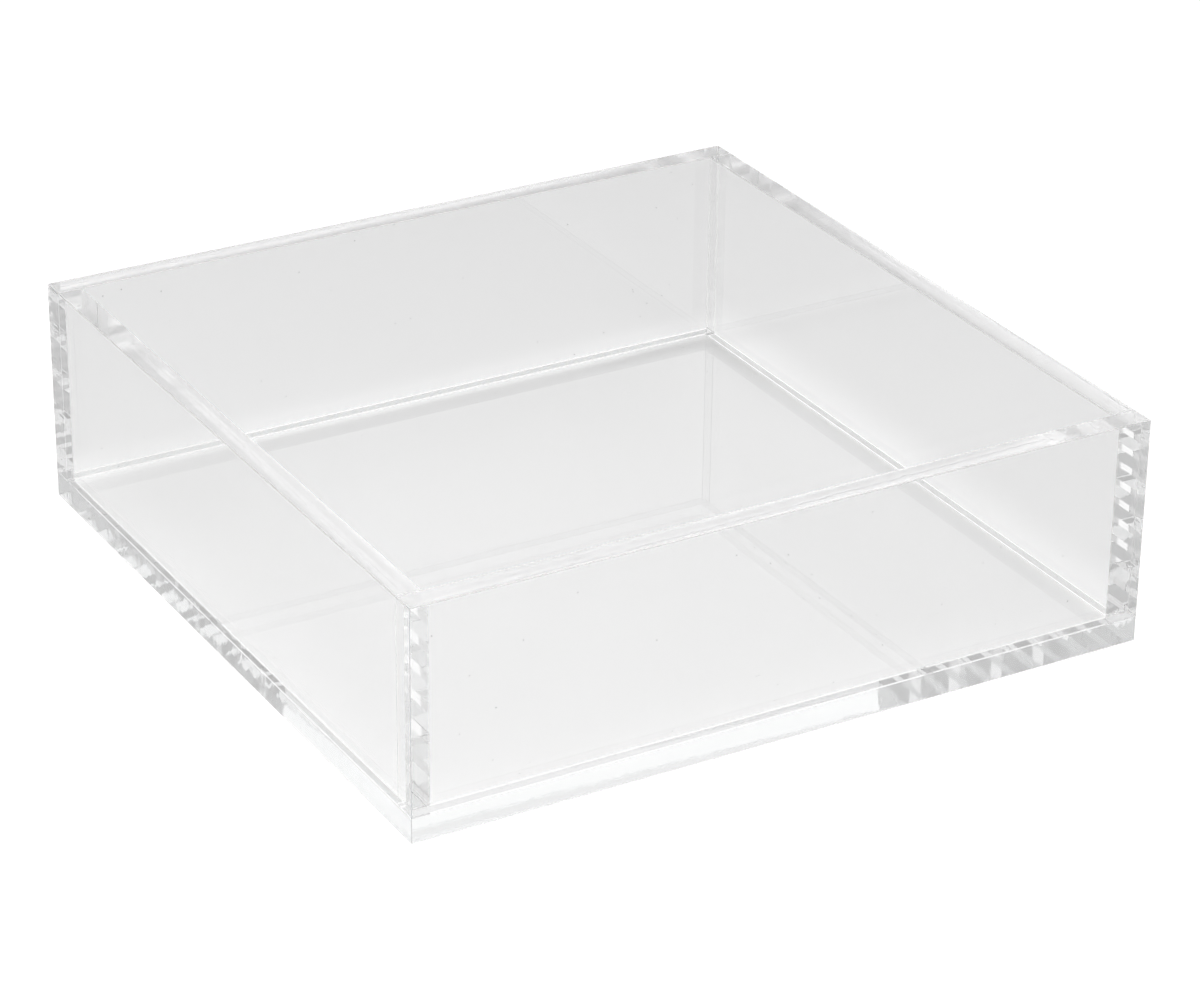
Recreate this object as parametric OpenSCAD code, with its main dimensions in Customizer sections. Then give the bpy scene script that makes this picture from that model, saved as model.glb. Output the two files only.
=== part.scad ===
// Clear napkin tray made of five cast acrylic sheets, butted and welded with solvent cement.
// The front and back walls run the full width and lap over the ends of the side walls,
// and all four walls stand on the base sheet, flush with its cut edges.
// Origin: centre of the underside. +Z is up and +Y points to the back wall.

/* [Napkins] */
// Side of the folded square napkins that the tray is cut for
napkin_side = 165.1; // [100:0.1:220]
// Finger room between the napkins and each wall
finger_room = 6.35; // [2:0.05:15]

/* [Sheets] */
// Thickness of the base sheet
base_t = 6.35; // [3:0.05:12]
// Thickness of the front and back walls
long_wall_t = 6.35; // [3:0.05:12]
// Thickness of the side walls
side_wall_t = 6.35; // [3:0.05:12]
// Height of the wall strips, which is the depth of the tray inside
wall_h = 50.8; // [20:0.1:120]

/* [Edges] */
// Arris scraped off the cut edges of the base before polishing
base_arris = 0.2; // [0.1:0.05:0.9]
// Arris scraped off the cut edges of the wall strips before polishing
wall_arris = 0.15; // [0.1:0.05:0.9]

/* [Hidden] */

// Inside of the tray, square like the napkins
well_side = napkin_side + 2 * finger_room;
// Outside of the tray, along the front wall and along the side walls
tray_w = well_side + 2 * side_wall_t;
tray_d = well_side + 2 * long_wall_t;

// Colour of clear acrylic against a white ground
acrylic = [0.90, 0.93, 0.93, 0.45];

// A rectangle standing on the X axis, with its four corners cut at 45 degrees
module eased_outline(w, h, ease) {
    polygon([
        [-w / 2 + ease, 0], [w / 2 - ease, 0], [w / 2, ease], [w / 2, h - ease],
        [w / 2 - ease, h], [-w / 2 + ease, h], [-w / 2, h - ease], [-w / 2, ease]
    ]);
}

// A cut sheet standing on the origin, with an arris scraped off each of its twelve edges
module cut_sheet(w, d, h, ease) {
    intersection() {
        // Along Z
        translate([0, -d / 2, 0])
            linear_extrude(height = h)
                eased_outline(w, d, ease);
        // Along Y
        translate([0, d / 2, 0])
            rotate([90, 0, 0])
                linear_extrude(height = d)
                    eased_outline(w, h, ease);
        // Along X
        rotate([90, 0, 90])
            linear_extrude(height = w, center = true)
                eased_outline(d, h, ease);
    }
}

// The floor of the tray, which runs under all four walls
module base_sheet() {
    color(acrylic)
        cut_sheet(tray_w, tray_d, base_t, base_arris);
}

// A full-width strip that laps the ends of the side walls; side is -1 at the front and 1 at the back
module long_wall(side) {
    color(acrylic)
        translate([0, side * (tray_d - long_wall_t) / 2, base_t])
            cut_sheet(tray_w, long_wall_t, wall_h, wall_arris);
}

// A short strip butted between the front and back walls; side is -1 at the left and 1 at the right
module side_wall(side) {
    color(acrylic)
        translate([side * (tray_w - side_wall_t) / 2, 0, base_t])
            cut_sheet(side_wall_t, well_side, wall_h, wall_arris);
}

base_sheet();
long_wall(-1);  // front_wall
long_wall(1);  // back_wall
side_wall(-1);  // left_wall
side_wall(1);  // right_wall
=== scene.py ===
"""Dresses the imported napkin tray: five cast acrylic sheets with polished edges, welded with solvent cement.

The five sheets work as one piece of glass. Where two of them are welded, both faces let light straight
through, and everywhere else a face meets air and bends or mirrors what it shows.
"""

import itertools
import logging
import math
from collections.abc import Sequence
from dataclasses import dataclass
from enum import Enum

import bmesh
import bpy
from mathutils import Matrix, Vector


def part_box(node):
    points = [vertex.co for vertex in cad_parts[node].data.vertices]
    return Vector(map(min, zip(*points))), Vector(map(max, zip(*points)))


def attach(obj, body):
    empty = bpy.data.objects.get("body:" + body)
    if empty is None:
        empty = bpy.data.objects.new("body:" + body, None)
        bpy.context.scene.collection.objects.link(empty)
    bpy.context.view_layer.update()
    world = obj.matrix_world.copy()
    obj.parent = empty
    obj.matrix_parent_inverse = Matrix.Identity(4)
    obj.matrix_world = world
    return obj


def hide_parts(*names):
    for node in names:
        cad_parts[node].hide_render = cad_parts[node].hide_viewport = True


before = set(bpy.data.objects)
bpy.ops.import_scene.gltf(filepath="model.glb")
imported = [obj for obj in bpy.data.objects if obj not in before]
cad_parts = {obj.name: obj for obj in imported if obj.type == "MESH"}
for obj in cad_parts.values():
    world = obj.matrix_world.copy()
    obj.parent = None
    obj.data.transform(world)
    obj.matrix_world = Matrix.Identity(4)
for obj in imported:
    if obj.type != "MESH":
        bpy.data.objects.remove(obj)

LOG = logging.getLogger("napkin_tray")

MM = 0.001
ROOT = "root"
# The number of the upright axis
UP = 2
# Two faces closer than this lie on each other
TOUCHING = 0.001 * MM
# Places that agree to this many decimals of a metre are one grid line
LINE_DECIMALS = 7
# A run may be longer than a whole number of grid steps by this share of a step
STEP_SLACK = 0.01
# A Mix node has sockets of its own for colours and for numbers
COLOUR_A, COLOUR_B, COLOUR_RESULT = 6, 7, 2
NUMBER_A, NUMBER_B, NUMBER_RESULT = 2, 3, 0


class Finish(Enum):
    """How one face of a sheet is finished. The value is the number of its material's slot."""

    CAST_FACE = 0
    CUT_EDGE = 1
    ARRIS = 2
    # Where two sheets are cemented, and the border of that, which the cement didn't reach
    BOND = 3
    DRY = 4


def linear(code: str) -> tuple[float, float, float, float]:
    """Turns an sRGB colour into the linear one that a socket takes.

    Args:
        code: six hex digits, such as "f4f6f5".

    Returns:
        Red, green, blue and an alpha of 1.
    """
    channels = [int(code[i:i + 2], 16) / 255 for i in (0, 2, 4)]
    red, green, blue = (c / 12.92 if c <= 0.04045 else ((c + 0.055) / 1.055) ** 2.4 for c in channels)
    return red, green, blue, 1.0


def add_node(tree: bpy.types.NodeTree, kind: str, inputs: dict | None = None,
             **settings: object) -> bpy.types.Node:
    """Adds a node with its settings, values and links.

    Args:
        tree: the tree that the node joins.
        kind: the node's type.
        inputs: for a socket's name or number, either its value or the output that feeds it.
        settings: the node's own properties.

    Returns:
        The node.
    """
    node = tree.nodes.new(kind)
    for name, value in settings.items():
        setattr(node, name, value)
    for name, value in (inputs or {}).items():
        if isinstance(value, bpy.types.NodeSocket):
            tree.links.new(value, node.inputs[name])
        else:
            node.inputs[name].default_value = value
    return node


def new_material(name: str) -> tuple[bpy.types.Material, bpy.types.NodeTree, bpy.types.Node]:
    """Makes a material whose tree holds nothing but its output.

    Args:
        name: the material's name.

    Returns:
        The material, its tree and its output node.
    """
    material = bpy.data.materials.new(name)
    material.use_nodes = True
    tree = material.node_tree
    tree.nodes.clear()
    return material, tree, add_node(tree, "ShaderNodeOutputMaterial")


@dataclass(frozen=True)
class CastAcrylic:
    """Clear cell-cast PMMA sheet, with the glossy skin that a glass mould leaves.

    Its slow ripples bend what shows through it a little, and it carries a fine grain, wipe marks and a
    few specks. The sheet's other finishes are this one after it has been cut, scraped or buffed.
    """

    name: str
    colour: str = "fcfcfc"
    # Light that stays inside is mirrored many times, and loses a little each time
    mirror: str = "fefefe"
    speck_colour: str = "606260"
    ior: float = 1.49
    roughness: float = 0.0
    # How much rougher the skin is where it has been wiped, and how wide such a place is
    smudge: float = 0.015
    smudge_width: float = 35 * MM
    # The levels of the noise at which a smudge begins and is full
    smudge_start: float = 0.45
    smudge_full: float = 0.75
    # The broad waves of the skin
    wave_width: float = 12 * MM
    wave_height: float = 0.004 * MM
    # The axis that a saw's marks run along, if any, and how fast the waves change along it
    marks_axis: int | None = None
    marks_pace: float = 0.25
    # The fine grain on the waves
    grain_width: float = 0.8 * MM
    grain_height: float = 0.0002 * MM
    # Dust and pinholes in the skin: how far apart their places are, and what share of these holds one
    speck_spacing: float = 2.2 * MM
    speck_share: float = 0.1
    # Their radius, and the part of it by which they fade inwards and outwards
    speck_radius: float = 0.14 * MM
    speck_blur: float = 0.4
    # What is left clear of a skin that has been scraped matt
    clear: float = 1.0

    def build(self) -> bpy.types.Material:
        """Makes the material.

        Returns:
            The material.
        """
        material, tree, output = new_material(self.name)
        place = add_node(tree, "ShaderNodeTexCoord").outputs["Object"]
        tint = add_node(tree, "ShaderNodeMix", {
            "Factor": self.specks(tree, place),
            COLOUR_A: linear(self.colour), COLOUR_B: linear(self.speck_colour),
        }, data_type="RGBA")
        shader = add_node(tree, "ShaderNodeBsdfPrincipled", {
            "Base Color": tint.outputs[COLOUR_RESULT], "Roughness": self.haze(tree, place),
            "IOR": self.ior, "Transmission Weight": self.clear,
            "Specular Tint": linear(self.mirror), "Normal": self.relief(tree, place),
        })
        tree.links.new(shader.outputs["BSDF"], output.inputs["Surface"])
        return material

    def haze(self, tree: bpy.types.NodeTree, place: bpy.types.NodeSocket) -> bpy.types.NodeSocket:
        """Makes the roughness: none where the skin is clean, and a little where it has been wiped.

        Args:
            tree: the material's tree.
            place: where the shaded point lies, in metres.

        Returns:
            The roughness.
        """
        noise = add_node(tree, "ShaderNodeTexNoise", {
            "Vector": place, "Scale": 1 / self.smudge_width, "Detail": 3.0, "Roughness": 0.6,
        })
        haze = add_node(tree, "ShaderNodeMapRange", {
            "Value": noise.outputs["Fac"], "From Min": self.smudge_start, "From Max": self.smudge_full,
            "To Min": self.roughness, "To Max": self.roughness + self.smudge,
        })
        return haze.outputs[0]

    def relief(self, tree: bpy.types.NodeTree, place: bpy.types.NodeSocket) -> bpy.types.NodeSocket:
        """Makes the skin's waves and grain.

        Args:
            tree: the material's tree.
            place: where the shaded point lies, in metres.

        Returns:
            The bumped normal.
        """
        paces = [self.marks_pace if axis == self.marks_axis else 1.0 for axis in range(3)]
        along = add_node(tree, "ShaderNodeVectorMath", {0: place, 1: paces}, operation="MULTIPLY")
        waves = add_node(tree, "ShaderNodeTexNoise", {
            "Vector": along.outputs[0], "Scale": 1 / self.wave_width, "Detail": 1.0, "Roughness": 0.4,
        })
        grain = add_node(tree, "ShaderNodeTexNoise", {
            "Vector": place, "Scale": 1 / self.grain_width, "Detail": 2.0, "Roughness": 0.5,
        })
        height = add_node(tree, "ShaderNodeMath", {
            0: grain.outputs["Fac"], 1: self.grain_height / self.wave_height, 2: waves.outputs["Fac"],
        }, operation="MULTIPLY_ADD")
        bump = add_node(tree, "ShaderNodeBump", {
            "Height": height.outputs[0], "Strength": 1.0, "Distance": self.wave_height,
        })
        return bump.outputs["Normal"]

    def specks(self, tree: bpy.types.NodeTree, place: bpy.types.NodeSocket) -> bpy.types.NodeSocket:
        """Makes small dark specks, in some of the cells of a Voronoi pattern.

        Args:
            tree: the material's tree.
            place: where the shaded point lies, in metres.

        Returns:
            The specks' mask, from 0 to 1.
        """
        cells = add_node(tree, "ShaderNodeTexVoronoi", {"Vector": place, "Scale": 1 / self.speck_spacing})
        radius = self.speck_radius / self.speck_spacing
        dot = add_node(tree, "ShaderNodeMapRange", {
            "Value": cells.outputs["Distance"],
            "From Min": (1 + self.speck_blur) * radius, "From Max": (1 - self.speck_blur) * radius,
        })
        # A cell's colour holds random numbers of its own
        number = add_node(tree, "ShaderNodeSeparateColor", {0: cells.outputs["Color"]})
        chosen = add_node(tree, "ShaderNodeMath", {
            0: number.outputs[0], 1: self.speck_share,
        }, operation="LESS_THAN")
        speck = add_node(tree, "ShaderNodeMath", {
            0: dot.outputs[0], 1: chosen.outputs[0],
        }, operation="MULTIPLY")
        return speck.outputs[0]


@dataclass(frozen=True)
class BuffedCut(CastAcrylic):
    """A wall's sawn edge, buffed clear on a wheel.

    Buffing leaves waves of a few millimetres along the edge and a finer grain on them, so it breaks what
    it shows into short bright and dark strokes.
    """

    roughness: float = 0.02
    smudge: float = 0.05
    smudge_width: float = 6 * MM
    wave_width: float = 2 * MM
    wave_height: float = 0.036 * MM
    grain_width: float = 0.5 * MM
    grain_height: float = 0.002 * MM


@dataclass(frozen=True)
class BuffedBaseCut(BuffedCut):
    """The base's sawn edge, cut with a finer saw, so its waves are shallower and its strokes calmer."""

    name: str = "buffed_base_edge"
    colour: str = "f4f5f5"
    wave_height: float = 0.024 * MM
    marks_axis: int | None = UP


@dataclass(frozen=True)
class ScrapedArris(CastAcrylic):
    """A wall's arris, scraped with a blade and left matt: a fine white line that little shows through."""

    name: str = "scraped_arris"
    colour: str = "ffffff"
    roughness: float = 0.4
    smudge: float = 0.2
    smudge_width: float = 8 * MM
    wave_width: float = 2 * MM
    wave_height: float = 0.01 * MM
    grain_width: float = 0.2 * MM
    grain_height: float = 0.002 * MM
    clear: float = 0.3


@dataclass(frozen=True)
class BuffedArris(CastAcrylic):
    """The base's arris, buffed together with its edges: clear, but satin, so what it shows is blurred."""

    name: str = "buffed_arris"
    roughness: float = 0.25
    smudge: float = 0.08
    smudge_width: float = 8 * MM
    grain_width: float = 0.4 * MM
    grain_height: float = 0.002 * MM


@dataclass(frozen=True)
class CementBond:
    """A solvent weld: both sheets have melted into one, so light runs straight through, a little greyed."""

    name: str
    colour: str

    def build(self) -> bpy.types.Material:
        """Makes the material.

        Returns:
            The material.
        """
        material, tree, output = new_material(self.name)
        shader = add_node(tree, "ShaderNodeBsdfTransparent", {"Color": linear(self.colour)})
        tree.links.new(shader.outputs["BSDF"], output.inputs["Surface"])
        return material


@dataclass(frozen=True)
class Bond:
    """Where two sheets lie on each other: a rectangle on a plane square to one axis, dry along its border."""

    axis: int
    place: float
    low: Vector
    high: Vector
    dry: float

    def lines(self, axis: int) -> list[float]:
        """Lists the rectangle's borders along one axis, and those of the cemented patch in it.

        Args:
            axis: 0, 1 or 2.

        Returns:
            The borders' places in rising order, or none along the axis that the plane is square to.
        """
        if axis == self.axis:
            return []
        low, high = self.low[axis], self.high[axis]
        return [low, low + self.dry, high - self.dry, high]

    def depth(self, point: Vector) -> float:
        """Says how far inside the rectangle's nearest border a point lies. It is negative outside."""
        others = [a for a in range(3) if a != self.axis]
        return min(min(point[a] - self.low[a], self.high[a] - point[a]) for a in others)

    def lies_on(self, axis: int, place: float) -> bool:
        """Says whether the rectangle lies on the plane at one place along an axis."""
        return axis == self.axis and abs(place - self.place) < TOUCHING


def bond_between(one: "Sheet", other: "Sheet") -> Bond | None:
    """Finds where two sheets are welded.

    Args:
        one: a sheet.
        other: another sheet.

    Returns:
        The rectangle where they lie on each other, or None where they don't meet face to face.
    """
    low = Vector(map(max, one.low, other.low))
    high = Vector(map(min, one.high, other.high))
    for axis in range(3):
        if abs(high[axis] - low[axis]) < TOUCHING:
            wide = all(high[a] - low[a] > TOUCHING for a in range(3) if a != axis)
            dry = one.dry if axis == UP else one.corner_dry
            return Bond(axis, low[axis], low, high, dry) if wide else None
    return None


@dataclass
class Sheet:
    """A rectangle of acrylic sheet, with an arris scraped off its free edges and its cut edges buffed."""

    node: str
    arris: float
    # What is left of an arris along a weld, where the cement has filled the groove
    filled: float = 0.02 * MM
    # How far apart the skin's grid lines lie, along the sheet and across its thickness
    pitch: float = 2.5 * MM
    edge_pitch: float = 0.8 * MM
    # How much lower a buffed edge is at its arrises than in its middle
    crown: float = 0.01 * MM
    # An arris is buffed round, in this many flats
    flats: int = 3
    # The cement doesn't reach the border of a weld, where the buffed edge falls away a little
    dry: float = 1.1 * MM
    # The corners are held tighter, so less of their border stays dry
    corner_dry: float = 0.4 * MM
    # The air in the dry border
    gap: float = 0.02 * MM
    # The share of a border that a weld has to cover to fill the groove along it
    weld_share: float = 0.9

    def __post_init__(self) -> None:
        """Takes the sheet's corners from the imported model."""
        self.low, self.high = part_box(self.node)
        self.bonds: list[Bond] = []
        self.normals: list[Vector] = []
        size = self.high - self.low
        self.thin = min(range(3), key=lambda axis: size[axis])

    def bonds_on(self, axis: int, side: int) -> list[Bond]:
        """Lists the welds on one of the sheet's six sides."""
        place = (self.low, self.high)[side][axis]
        return [bond for bond in self.bonds if bond.lies_on(axis, place)]

    def weld_runs(self, axis: int, side: int, other: int, end: int) -> bool:
        """Says whether a weld on one side runs along that side's whole border with another side.

        Args:
            axis: the axis that the side is square to.
            side: 0 for the low side and 1 for the high one.
            other: the axis that the neighbouring side is square to.
            end: 0 for its low side and 1 for its high one.

        Returns:
            True where the weld comes up to the border along nearly all of it.
        """
        along = 3 - axis - other
        border = (self.low, self.high)[end][other]
        length = sum(
            bond.high[along] - bond.low[along] for bond in self.bonds_on(axis, side)
            if abs((bond.low, bond.high)[end][other] - border) < TOUCHING
            and bond.high[along] - bond.low[along] > bond.high[other] - bond.low[other]
        )
        return length > self.weld_share * (self.high[along] - self.low[along])

    def ease(self, axis: int, side: int, other: int, end: int) -> float:
        """Says how wide the arris between two neighbouring sides is.

        Args:
            axis: the axis that the first side is square to.
            side: 0 for the low side and 1 for the high one.
            other: the axis that the second side is square to.
            end: 0 for its low side and 1 for its high one.

        Returns:
            The arris's width along either side.
        """
        welded = self.weld_runs(axis, side, other, end) or self.weld_runs(other, end, axis, side)
        return self.filled if welded else self.arris

    def lines(self, axis: int) -> list[float]:
        """Places the grid lines along one axis, with one on each border of an arris or a weld.

        Args:
            axis: 0, 1 or 2.

        Returns:
            The places in rising order, from just inside one arris to just inside the other.
        """
        first, last = self.low[axis] + self.arris, self.high[axis] - self.arris
        marks = {round(m, LINE_DECIMALS) for bond in self.bonds for m in bond.lines(axis)}
        marks = sorted({first, last} | {m for m in marks if first + TOUCHING < m < last - TOUCHING})
        pitch = self.edge_pitch if axis == self.thin else self.pitch
        places = []
        for start, end in itertools.pairwise(marks):
            steps = max(1, math.ceil((end - start) / pitch - STEP_SLACK))
            places += [start + (end - start) * i / steps for i in range(steps)]
        return [*places, last]

    def lines_on(self, axis: int, side: int, other: int, lines: Sequence[float]) -> list[float]:
        """Fits the grid lines to one side, whose arrises can be wide or filled.

        Args:
            axis: the axis that the side is square to.
            side: 0 for the low side and 1 for the high one.
            other: the axis that the lines are placed along.
            lines: the lines as they lie between two wide arrises.

        Returns:
            The lines, with the first and the last moved to the side's own arrises.
        """
        first = self.low[other] + self.ease(axis, side, other, 0)
        last = self.high[other] - self.ease(axis, side, other, 1)
        return [first, *lines[1:-1], last]

    def sink(self, axis: int, side: int, point: Vector) -> float:
        """Says how far a cut edge lies below its flat side at a point.

        Args:
            axis: the axis that the side is square to.
            side: 0 for the low side and 1 for the high one.
            point: a point on that side.

        Returns:
            On a free edge, what buffing has rounded down, and on a welded one, the dry border's gap.
        """
        if axis == self.thin:
            return 0.0
        bonds = self.bonds_on(axis, side)
        if bonds:
            return self.gap if all(bond.depth(point) < bond.dry - TOUCHING for bond in bonds) else 0.0
        middle = (self.low[self.thin] + self.high[self.thin]) / 2
        half = (self.high[self.thin] - self.low[self.thin]) / 2
        return self.crown * ((point[self.thin] - middle) / half) ** 2

    def normal(self, axis: int, side: int, point: Vector) -> Vector:
        """Gives a side's outward normal at a point, which leans over where the edge is rounded down.

        Args:
            axis: the axis that the side is square to.
            side: 0 for the low side and 1 for the high one.
            point: a point on that side.

        Returns:
            The unit normal.
        """
        normal = Vector()
        normal[axis] = (-1, 1)[side]
        if axis != self.thin and not self.bonds_on(axis, side):
            step = Vector()
            step[self.thin] = self.arris
            rise = self.sink(axis, side, point + step) - self.sink(axis, side, point - step)
            normal[self.thin] = rise / (2 * self.arris)
        return normal.normalized()

    def mesh(self) -> bpy.types.Mesh:
        """Builds the sheet as one closed skin: six gridded sides, twelve arrises and eight corners.

        Returns:
            The mesh, with each face's finish in an attribute.
        """
        shape = bmesh.new()
        lines = [self.lines(axis) for axis in range(3)]
        finish = shape.faces.layers.int.new("finish")
        corners: dict[tuple, bmesh.types.BMVert] = {}
        for axis, side in itertools.product(range(3), (0, 1)):
            self.add_side(shape, corners, lines, axis, side, finish)
        for axis in range(3):
            self.add_arrises(shape, corners, lines, axis, finish)
        for sides in itertools.product((0, 1), repeat=3):
            self.add_corner(shape, corners, lines, sides, finish)
        bmesh.ops.recalc_face_normals(shape, faces=shape.faces)
        mesh = bpy.data.meshes.new(self.node)
        shape.to_mesh(mesh)
        shape.free()
        # Each point keeps its side's own normal, so the sides shade flat and the arrises between them round
        mesh.normals_split_custom_set_from_vertices(self.normals)
        return mesh

    def add_side(self, shape: bmesh.types.BMesh, corners: dict, lines: Sequence[Sequence[float]],
                 axis: int, side: int, finish: bmesh.types.BMLayerItem) -> None:
        """Adds the grid of one side.

        Args:
            shape: the skin that is being built.
            corners: the grid's points, filled in here by axis, side and their two line numbers.
            lines: the grid lines' places along each axis.
            axis: the axis that the side is square to.
            side: 0 for the low side and 1 for the high one.
            finish: the face layer that takes the finish's number.
        """
        across, along = (axis + 1) % 3, (axis + 2) % 3
        plain = Finish.CAST_FACE if axis == self.thin else Finish.CUT_EDGE
        bonds = self.bonds_on(axis, side)
        outward = (-1, 1)[side]
        rows = self.lines_on(axis, side, across, lines[across])
        columns = self.lines_on(axis, side, along, lines[along])
        for i, j in itertools.product(range(len(rows)), range(len(columns))):
            point = Vector()
            point[axis] = (self.low, self.high)[side][axis]
            point[across], point[along] = rows[i], columns[j]
            point[axis] -= outward * self.sink(axis, side, point)
            corners[axis, side, i, j] = shape.verts.new(point)
            self.normals.append(self.normal(axis, side, point))
        for i, j in itertools.product(range(len(rows) - 1), range(len(columns) - 1)):
            ring = [corners[axis, side, *pair] for pair in ((i, j), (i + 1, j), (i + 1, j + 1), (i, j + 1))]
            face = shape.faces.new(ring)
            face.smooth = True
            middle = face.calc_center_median()
            cemented = any(bond.depth(middle) > bond.dry for bond in bonds)
            covered = any(bond.depth(middle) > 0.0 for bond in bonds)
            face[finish] = (Finish.BOND if cemented else Finish.DRY if covered else plain).value

    def add_arrises(self, shape: bmesh.types.BMesh, corners: dict, lines: Sequence[Sequence[float]],
                    axis: int, finish: bmesh.types.BMLayerItem) -> None:
        """Adds the four arrises that run along one axis.

        Args:
            shape: the skin that is being built.
            corners: the points of the six sides.
            lines: the grid lines' places along each axis.
            axis: the axis that the arrises run along.
            finish: the face layer that takes the finish's number.
        """
        second, third = (axis + 1) % 3, (axis + 2) % 3
        ends = {a: (0, len(lines[a]) - 1) for a in (second, third)}
        for side_two, side_three in itertools.product((0, 1), repeat=2):
            # On the side square to the second axis, the line numbers go by the third axis and then this one
            upper = [corners[second, side_two, ends[third][side_three], k] for k in range(len(lines[axis]))]
            lower = [corners[third, side_three, k, ends[second][side_two]] for k in range(len(lines[axis]))]
            rows = [upper, *self.add_round(shape, upper, lower, second, side_two, third, side_three), lower]
            for above, below in itertools.pairwise(rows):
                for k in range(len(lines[axis]) - 1):
                    face = shape.faces.new((above[k], above[k + 1], below[k + 1], below[k]))
                    face[finish] = Finish.ARRIS.value
                    face.smooth = True
            for k in (0, len(lines[axis]) - 1):
                corners["arc", axis, side_two, side_three, k] = [row[k] for row in rows]

    def add_round(self, shape: bmesh.types.BMesh, upper: Sequence[bmesh.types.BMVert],
                  lower: Sequence[bmesh.types.BMVert], second: int, side_two: int,
                  third: int, side_three: int) -> list[list[bmesh.types.BMVert]]:
        """Adds the points between two sides' borders, on a quarter circle.

        Args:
            shape: the skin that is being built.
            upper: the border of the side square to the second axis.
            lower: the border of the side square to the third axis.
            second: the second axis.
            side_two: 0 for its low side and 1 for its high one.
            third: the third axis.
            side_three: 0 for its low side and 1 for its high one.

        Returns:
            The rows of points, from the upper border to the lower one.
        """
        rows = []
        for step in range(1, self.flats):
            turn = math.pi / 2 * step / self.flats
            row = []
            for above, below in zip(upper, lower):
                # The circle's centre lies straight in from each border
                point = above.co.copy()
                point[second] = below.co[second] + (above.co[second] - below.co[second]) * math.cos(turn)
                point[third] = above.co[third] + (below.co[third] - above.co[third]) * math.sin(turn)
                row.append(shape.verts.new(point))
                normal = Vector()
                normal[second] = (-1, 1)[side_two] * math.cos(turn)
                normal[third] = (-1, 1)[side_three] * math.sin(turn)
                self.normals.append(normal)
            rows.append(row)
        return rows

    def add_corner(self, shape: bmesh.types.BMesh, corners: dict, lines: Sequence[Sequence[float]],
                   sides: tuple[int, int, int], finish: bmesh.types.BMLayerItem) -> None:
        """Closes one corner of the sheet between its three arrises.

        Args:
            shape: the skin that is being built.
            corners: the points of the six sides and of the arrises' ends.
            lines: the grid lines' places along each axis.
            sides: for each axis, 0 for its low side and 1 for its high one.
            finish: the face layer that takes the finish's number.
        """
        ring = []
        # Each arc runs from the side after its axis to the one before it, so the three follow each other
        for axis in (2, 0, 1):
            place = sides[axis] * (len(lines[axis]) - 1)
            arc = corners["arc", axis, sides[(axis + 1) % 3], sides[(axis + 2) % 3], place]
            ring += arc[:-1]
        # A fan about the middle, because one face over points in a line would leave slivers
        middle = shape.verts.new(sum((point.co for point in ring), Vector()) / len(ring))
        self.normals.append(Vector([(-1, 1)[side] for side in sides]).normalized())
        for start, end in zip(ring, [*ring[1:], ring[0]]):
            face = shape.faces.new((start, end, middle))
            face[finish] = Finish.ARRIS.value
            face.smooth = True

    def build(self, materials: dict[Finish, bpy.types.Material]) -> bpy.types.Object:
        """Makes the sheet's object and hands it to the frame.

        Args:
            materials: the material of each finish.

        Returns:
            The piece that stands for the CAD node.
        """
        mesh = self.mesh()
        piece = bpy.data.objects.new(f"acrylic_{self.node}", mesh)
        bpy.context.scene.collection.objects.link(piece)
        for finish in Finish:
            mesh.materials.append(materials[finish])
        for face, number in zip(mesh.polygons, mesh.attributes["finish"].data):
            face.material_index = number.value
        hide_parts(self.node)
        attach(piece, ROOT)
        return piece


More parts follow.
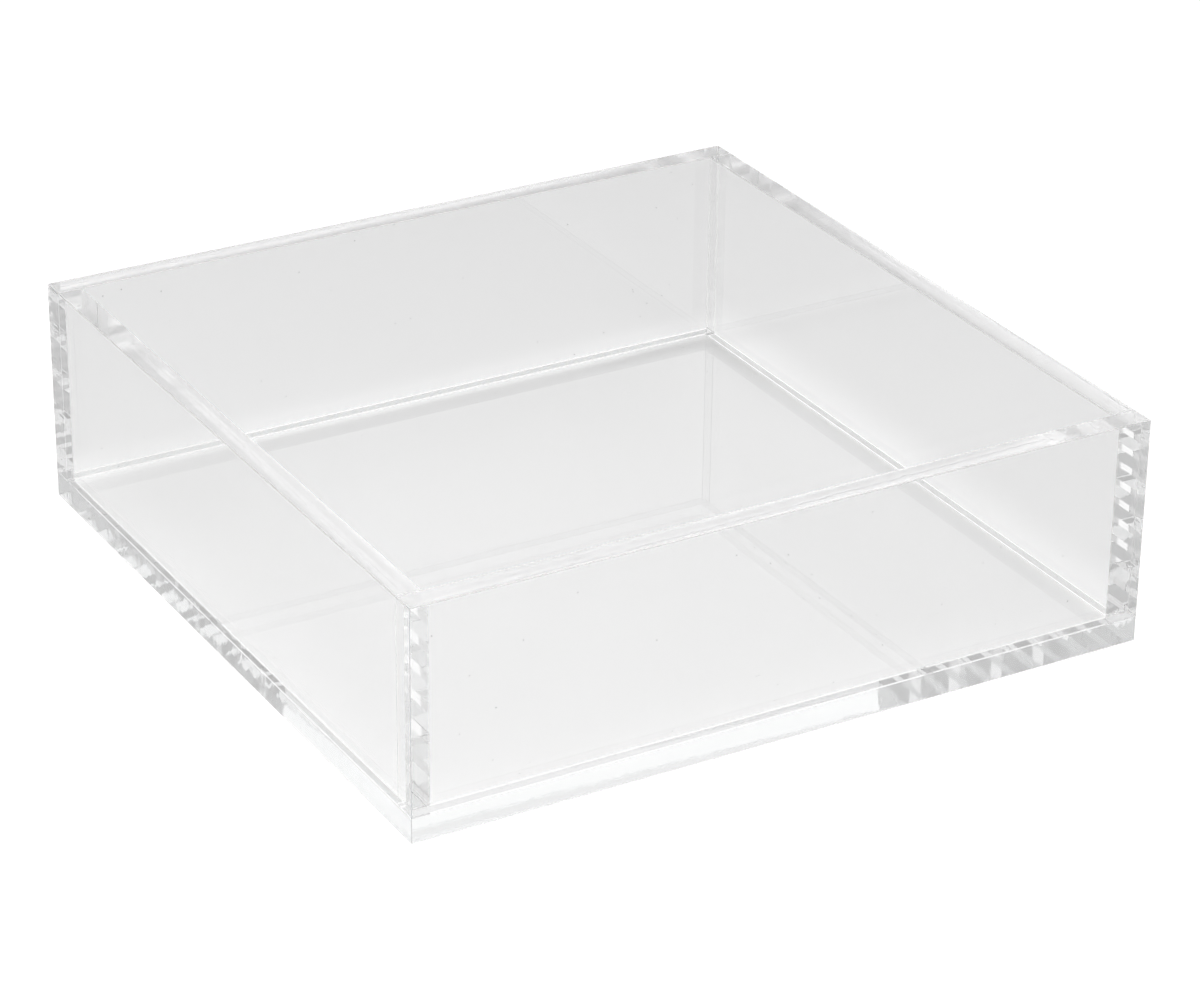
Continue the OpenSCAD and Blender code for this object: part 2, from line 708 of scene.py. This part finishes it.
@dataclass(frozen=True)
class MattPaper:
    """Matt white paper under the tray, which keeps the tray's shadow.

    It is lifted to white for the camera, and a little where it shows through the glass, with rings of painted
    light under and around the walls.
    """

    name: str = "matt_white_paper"
    colour: str = "ededed"
    # What is added to it as the camera sees it, and as it shows through the glass
    camera_lift: float = 0.42
    glass_lift: float = 0.02
    # The walls guide light down onto the paper under them and just outside, and a ring of painted light makes
    # it paler there
    painted_guided_light: float = 0.17
    # That begins and is full this far out from the inner face, and is gone this far out from the outer one
    guided_start: float = 1 * MM
    guided_full: float = 4 * MM
    guided_reach: float = 26 * MM
    # Less of the lamp's light comes down through the walls' dry outer border, and a strip of painted light
    # makes up for it
    painted_border_light: float = 0.17
    border_width: float = 1.8 * MM
    border_fade: float = 0.9 * MM

    def build(self) -> bpy.types.Material:
        """Makes the material.

        Returns:
            The material.
        """
        material, tree, output = new_material(self.name)
        paper = add_node(tree, "ShaderNodeBsdfDiffuse", {"Color": linear(self.colour)})
        rays = add_node(tree, "ShaderNodeLightPath")
        glass = add_node(tree, "ShaderNodeMath", {
            0: rays.outputs["Is Glossy Ray"], 1: rays.outputs["Is Transmission Ray"],
        }, operation="MAXIMUM")
        through = add_node(tree, "ShaderNodeMath", {
            0: glass.outputs[0], 1: self.guided(tree),
        }, operation="MULTIPLY")
        lift = add_node(tree, "ShaderNodeMath", {
            0: rays.outputs["Is Camera Ray"], 1: self.camera_lift, 2: through.outputs[0],
        }, operation="MULTIPLY_ADD")
        glow = add_node(tree, "ShaderNodeEmission", {"Strength": lift.outputs[0]})
        both = add_node(tree, "ShaderNodeAddShader", {0: paper.outputs[0], 1: glow.outputs[0]})
        tree.links.new(both.outputs[0], output.inputs["Surface"])
        return material

    def guided(self, tree: bpy.types.NodeTree) -> bpy.types.NodeSocket:
        """Paints light onto what the glass shows of the paper, in square rings under and around the walls.

        Args:
            tree: the material's tree.

        Returns:
            What is added to the paper's level.
        """
        place = add_node(tree, "ShaderNodeTexCoord")
        apart = add_node(tree, "ShaderNodeVectorMath", {0: place.outputs["Object"]}, operation="ABSOLUTE")
        axes = add_node(tree, "ShaderNodeSeparateXYZ", {0: apart.outputs[0]})
        reach = add_node(tree, "ShaderNodeMath", {
            0: axes.outputs["X"], 1: axes.outputs["Y"],
        }, operation="MAXIMUM").outputs[0]
        # The plan is square, so the right wall's inner and outer faces say where all the walls' lie
        inside, outside = (corner[0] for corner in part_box("right_wall"))
        broad = self.ring(tree, reach, inside + self.guided_start, inside + self.guided_full,
                          outside, outside + self.guided_reach)
        start = outside - self.border_width
        border = self.ring(tree, reach, start, start + self.border_fade, outside, outside + self.border_fade)
        # Painted light: the rings are added to the paper's glow, and no lamp lights them
        level = add_node(tree, "ShaderNodeMath", {
            0: broad, 1: self.painted_guided_light, 2: self.glass_lift,
        }, operation="MULTIPLY_ADD")
        total = add_node(tree, "ShaderNodeMath", {
            0: border, 1: self.painted_border_light, 2: level.outputs[0],
        }, operation="MULTIPLY_ADD")
        return total.outputs[0]

    def ring(self, tree: bpy.types.NodeTree, reach: bpy.types.NodeSocket, start: float, full: float,
             fade: float, end: float) -> bpy.types.NodeSocket:
        """Marks a square ring that fades in and out.

        Args:
            tree: the material's tree.
            reach: how far out the shaded point lies, along the axis where that is more.
            start: where the ring begins to show.
            full: where it is full.
            fade: where it begins to fade again.
            end: where it is gone.

        Returns:
            The ring's mask, from 0 to 1.
        """
        rising, falling = (add_node(tree, "ShaderNodeMapRange", {
            "Value": reach, "From Min": none, "From Max": whole,
        }, interpolation_type="SMOOTHSTEP") for none, whole in ((start, full), (end, fade)))
        mask = add_node(tree, "ShaderNodeMath", {
            0: rising.outputs[0], 1: falling.outputs[0],
        }, operation="MULTIPLY")
        return mask.outputs[0]


@dataclass(frozen=True)
class Glow:
    """A soft round patch of the studio's surroundings, seen from the tray. Its angles are in degrees."""

    # Where its middle lies: round from the back wall's side towards the right, and up
    azimuth: float
    elevation: float
    # How far from its middle it begins to fade, and is gone
    inner: float
    outer: float
    # How bright it is, where 1 is white
    level: float

    def middle(self) -> tuple[float, float, float]:
        """Gives the direction of the patch's middle."""
        a, e = math.radians(self.azimuth), math.radians(self.elevation)
        return math.sin(a) * math.cos(e), math.cos(a) * math.cos(e), math.sin(e)


@dataclass(frozen=True)
class Softbox:
    """A round softbox that hangs over the table and faces straight down. Its sizes are in metres."""

    place: tuple[float, float, float] = (-0.25, -0.27, 0.60)
    diameter: float = 0.9
    # How bright its face is, where 1 is white
    level: float = 1.0

    def build(self) -> None:
        """Makes the lamp. Its power is what gives its face the wanted level."""
        area = math.pi * (self.diameter / 2) ** 2
        data = bpy.data.lights.new("softbox", "AREA")
        data.shape = "DISK"
        data.size = self.diameter
        data.energy = self.level * math.pi * area
        lamp = bpy.data.objects.new("softbox", data)
        lamp.matrix_world = Matrix.Translation(self.place)
        lamp.visible_camera = False
        bpy.context.scene.collection.objects.link(lamp)


@dataclass
class Studio:
    """A pale table top in a soft studio, lit from all round."""

    # The table top's side, in metres
    table_side: float = 4.0
    # The tray's underside never lies perfectly flat, and this air under it is what makes it mirror
    air_gap: float = 0.15 * MM
    # How many faces a ray may pass or be mirrored by, because it meets many of them in the sheets
    bounces: int = 64
    # The dim room above and between the lights
    surround: float = 0.1
    # The white lower walls of the room, all round: their level, and how many degrees up they end
    horizon: float = 0.5
    horizon_top: float = 18.0
    horizon_fade: float = 6.0
    glows: tuple[Glow, ...] = (
        # The white sweep behind the tray, which darkens towards the ceiling and the sides
        Glow(azimuth=10, elevation=-10, inner=22, outer=105, level=0.98),
        # The brightest part of the sweep, behind the tray's right corner
        Glow(azimuth=30, elevation=31, inner=6, outer=20, level=1.09),
        # The key softbox, high at the back
        Glow(azimuth=8, elevation=66, inner=6, outer=24, level=2.8),
        # The second softbox, on the right
        Glow(azimuth=83, elevation=45, inner=11, outer=29, level=1.9),
        # The near side of the room, lit by what the table throws back
        Glow(azimuth=165, elevation=-35, inner=63, outer=94, level=0.6),
    )

    def build_table(self) -> None:
        """Makes the table top, covered with paper, just below the tray."""
        half = self.table_side / 2
        shape = bmesh.new()
        corners = [shape.verts.new((x, y, -self.air_gap))
                   for x, y in ((-half, -half), (half, -half), (half, half), (-half, half))]
        shape.faces.new(corners)
        mesh = bpy.data.meshes.new("table_top")
        shape.to_mesh(mesh)
        shape.free()
        table = bpy.data.objects.new("table_top", mesh)
        bpy.context.scene.collection.objects.link(table)
        mesh.materials.append(MattPaper().build())

    def build_world(self) -> None:
        """Makes the surroundings: white to the camera, and the studio to everything else."""
        world = bpy.data.worlds.new("studio")
        bpy.context.scene.world = world
        world.use_nodes = True
        tree = world.node_tree
        tree.nodes.clear()
        output = add_node(tree, "ShaderNodeOutputWorld")
        place = add_node(tree, "ShaderNodeTexCoord")
        height = add_node(tree, "ShaderNodeSeparateXYZ", {0: place.outputs["Generated"]})
        half = self.horizon_fade / 2
        band = add_node(tree, "ShaderNodeMapRange", {
            "Value": height.outputs["Z"],
            "From Min": math.sin(math.radians(self.horizon_top + half)),
            "From Max": math.sin(math.radians(self.horizon_top - half)),
        }, interpolation_type="SMOOTHSTEP")
        level = add_node(tree, "ShaderNodeMix", {
            "Factor": band.outputs[0], NUMBER_A: self.surround, NUMBER_B: self.horizon,
        }, data_type="FLOAT").outputs[NUMBER_RESULT]
        for glow in self.glows:
            facing = add_node(tree, "ShaderNodeVectorMath", {
                0: place.outputs["Generated"], 1: glow.middle(),
            }, operation="DOT_PRODUCT")
            share = add_node(tree, "ShaderNodeMapRange", {
                "Value": facing.outputs["Value"],
                "From Min": math.cos(math.radians(glow.outer)),
                "From Max": math.cos(math.radians(glow.inner)),
            }, interpolation_type="SMOOTHSTEP")
            level = add_node(tree, "ShaderNodeMix", {
                "Factor": share.outputs[0], NUMBER_A: level, NUMBER_B: glow.level,
            }, data_type="FLOAT").outputs[NUMBER_RESULT]
        studio = add_node(tree, "ShaderNodeBackground", {"Color": linear("ffffff"), "Strength": level})
        white = add_node(tree, "ShaderNodeBackground", {"Color": linear("ffffff"), "Strength": 1.0})
        rays = add_node(tree, "ShaderNodeLightPath")
        seen = add_node(tree, "ShaderNodeMixShader", {
            0: rays.outputs["Is Camera Ray"], 1: studio.outputs[0], 2: white.outputs[0],
        })
        tree.links.new(seen.outputs[0], output.inputs["Surface"])

    def set_render(self) -> None:
        """Lets light through many sheets, and leaves the colours as they are."""
        scene = bpy.context.scene
        scene.view_settings.view_transform = "Standard"
        scene.cycles.max_bounces = self.bounces
        scene.cycles.glossy_bounces = self.bounces
        scene.cycles.transmission_bounces = self.bounces
        scene.cycles.transparent_max_bounces = self.bounces
        scene.cycles.blur_glossy = 0.0

    def build(self) -> None:
        """Makes the table, the surroundings and the render's settings."""
        self.build_table()
        self.build_world()
        Softbox().build()
        self.set_render()


@dataclass(frozen=True)
class PhotoCamera:
    """The photograph's viewpoint, fitted to the tray's seven visible outer corners."""

    # The focal length and the picture's width in pixels, and the sensor's width in millimetres
    focal_px: float = 4191.6
    picture_px: float = 1200.0
    sensor: float = 36.0
    # Where the camera stands, in degrees round from the front and up, and how far it leans
    azimuth: float = -30.078
    elevation: float = 26.570
    roll: float = 0.693
    # How far it stands from the origin, and how far off the picture's middle the origin shows, in metres
    distance: float = 1.0122
    aim_right: float = -0.00486
    aim_up: float = -0.01750
    # Only what lies between these distances is drawn
    nearest: float = 0.05
    farthest: float = 50.0

    def build(self) -> None:
        """Makes the camera and looks through it."""
        data = bpy.data.cameras.new("photo_camera")
        data.sensor_width = self.sensor
        data.lens = self.focal_px * self.sensor / self.picture_px
        data.clip_start, data.clip_end = self.nearest, self.farthest
        a, e, roll = (math.radians(v) for v in (self.azimuth, self.elevation, self.roll))
        back = Vector((math.sin(a) * math.cos(e), -math.cos(a) * math.cos(e), math.sin(e)))
        level = Vector((math.cos(a), math.sin(a), 0.0))
        upright = back.cross(level)
        right = math.cos(roll) * level + math.sin(roll) * upright
        up = math.cos(roll) * upright - math.sin(roll) * level
        place = back * self.distance - right * self.aim_right - up * self.aim_up
        camera = bpy.data.objects.new("photo_camera", data)
        camera.matrix_world = Matrix.Translation(place) @ Matrix((right, up, back)).transposed().to_4x4()
        bpy.context.scene.collection.objects.link(camera)
        bpy.context.scene.camera = camera


@dataclass
class NapkinTray:
    """The whole tray: a base sheet with four wall strips welded on it."""

    base_arris: float = 0.2 * MM
    wall_arris: float = 0.15 * MM
    walls: tuple[str, ...] = ("front_wall", "back_wall", "left_wall", "right_wall")

    def build(self) -> list[bpy.types.Object]:
        """Cuts the sheets, finds their welds and dresses them.

        Returns:
            The pieces, one for each sheet.
        """
        base = Sheet("base_sheet", self.base_arris)
        walls = [Sheet(wall, self.wall_arris) for wall in self.walls]
        for one, other in itertools.combinations([base, *walls], 2):
            bond = bond_between(one, other)
            if bond is not None:
                one.bonds.append(bond)
                other.bonds.append(bond)
        acrylic = CastAcrylic("cast_acrylic_face").build()
        # A saw's marks run across the thickness, which lies along X in the side walls and Y in the others
        cuts = [BuffedCut("buffed_cut_edge_" + "xy"[axis], marks_axis=axis).build() for axis in (0, 1)]
        # Light crosses a weld as two faces. At a corner both are a wall's, and under a wall one is the
        # base's, which is painted greyer: a little of that is the cement, and most is painted shade for the
        # wall's shadow on the paper seen through it.
        wall_finishes = {
            Finish.CAST_FACE: acrylic, Finish.DRY: acrylic,
            Finish.ARRIS: ScrapedArris().build(), Finish.BOND: CementBond("corner_weld", "fdfdfd").build(),
        }
        base_finishes = {
            Finish.CAST_FACE: acrylic, Finish.DRY: acrylic,
            # The base weld's colour is partly cement grey and partly painted shade, for the wall's shadow on
            # the paper under it
            Finish.BOND: CementBond("base_weld_painted_shade", "eeeeee").build(),
            Finish.CUT_EDGE: BuffedBaseCut().build(), Finish.ARRIS: BuffedArris().build(),
        }
        pieces = [base.build(base_finishes)]
        pieces += [wall.build({**wall_finishes, Finish.CUT_EDGE: cuts[wall.thin]}) for wall in walls]
        return pieces


def main() -> None:
    """Builds the tray, the studio and the camera in order."""
    logging.basicConfig(level=logging.INFO, format="%(name)s: %(message)s")
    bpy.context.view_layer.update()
    for piece in NapkinTray().build():
        LOG.info("%s: %d faces", piece.name, len(piece.data.polygons))
    Studio().build()
    PhotoCamera().build()


if __name__ == "__main__":
    main()
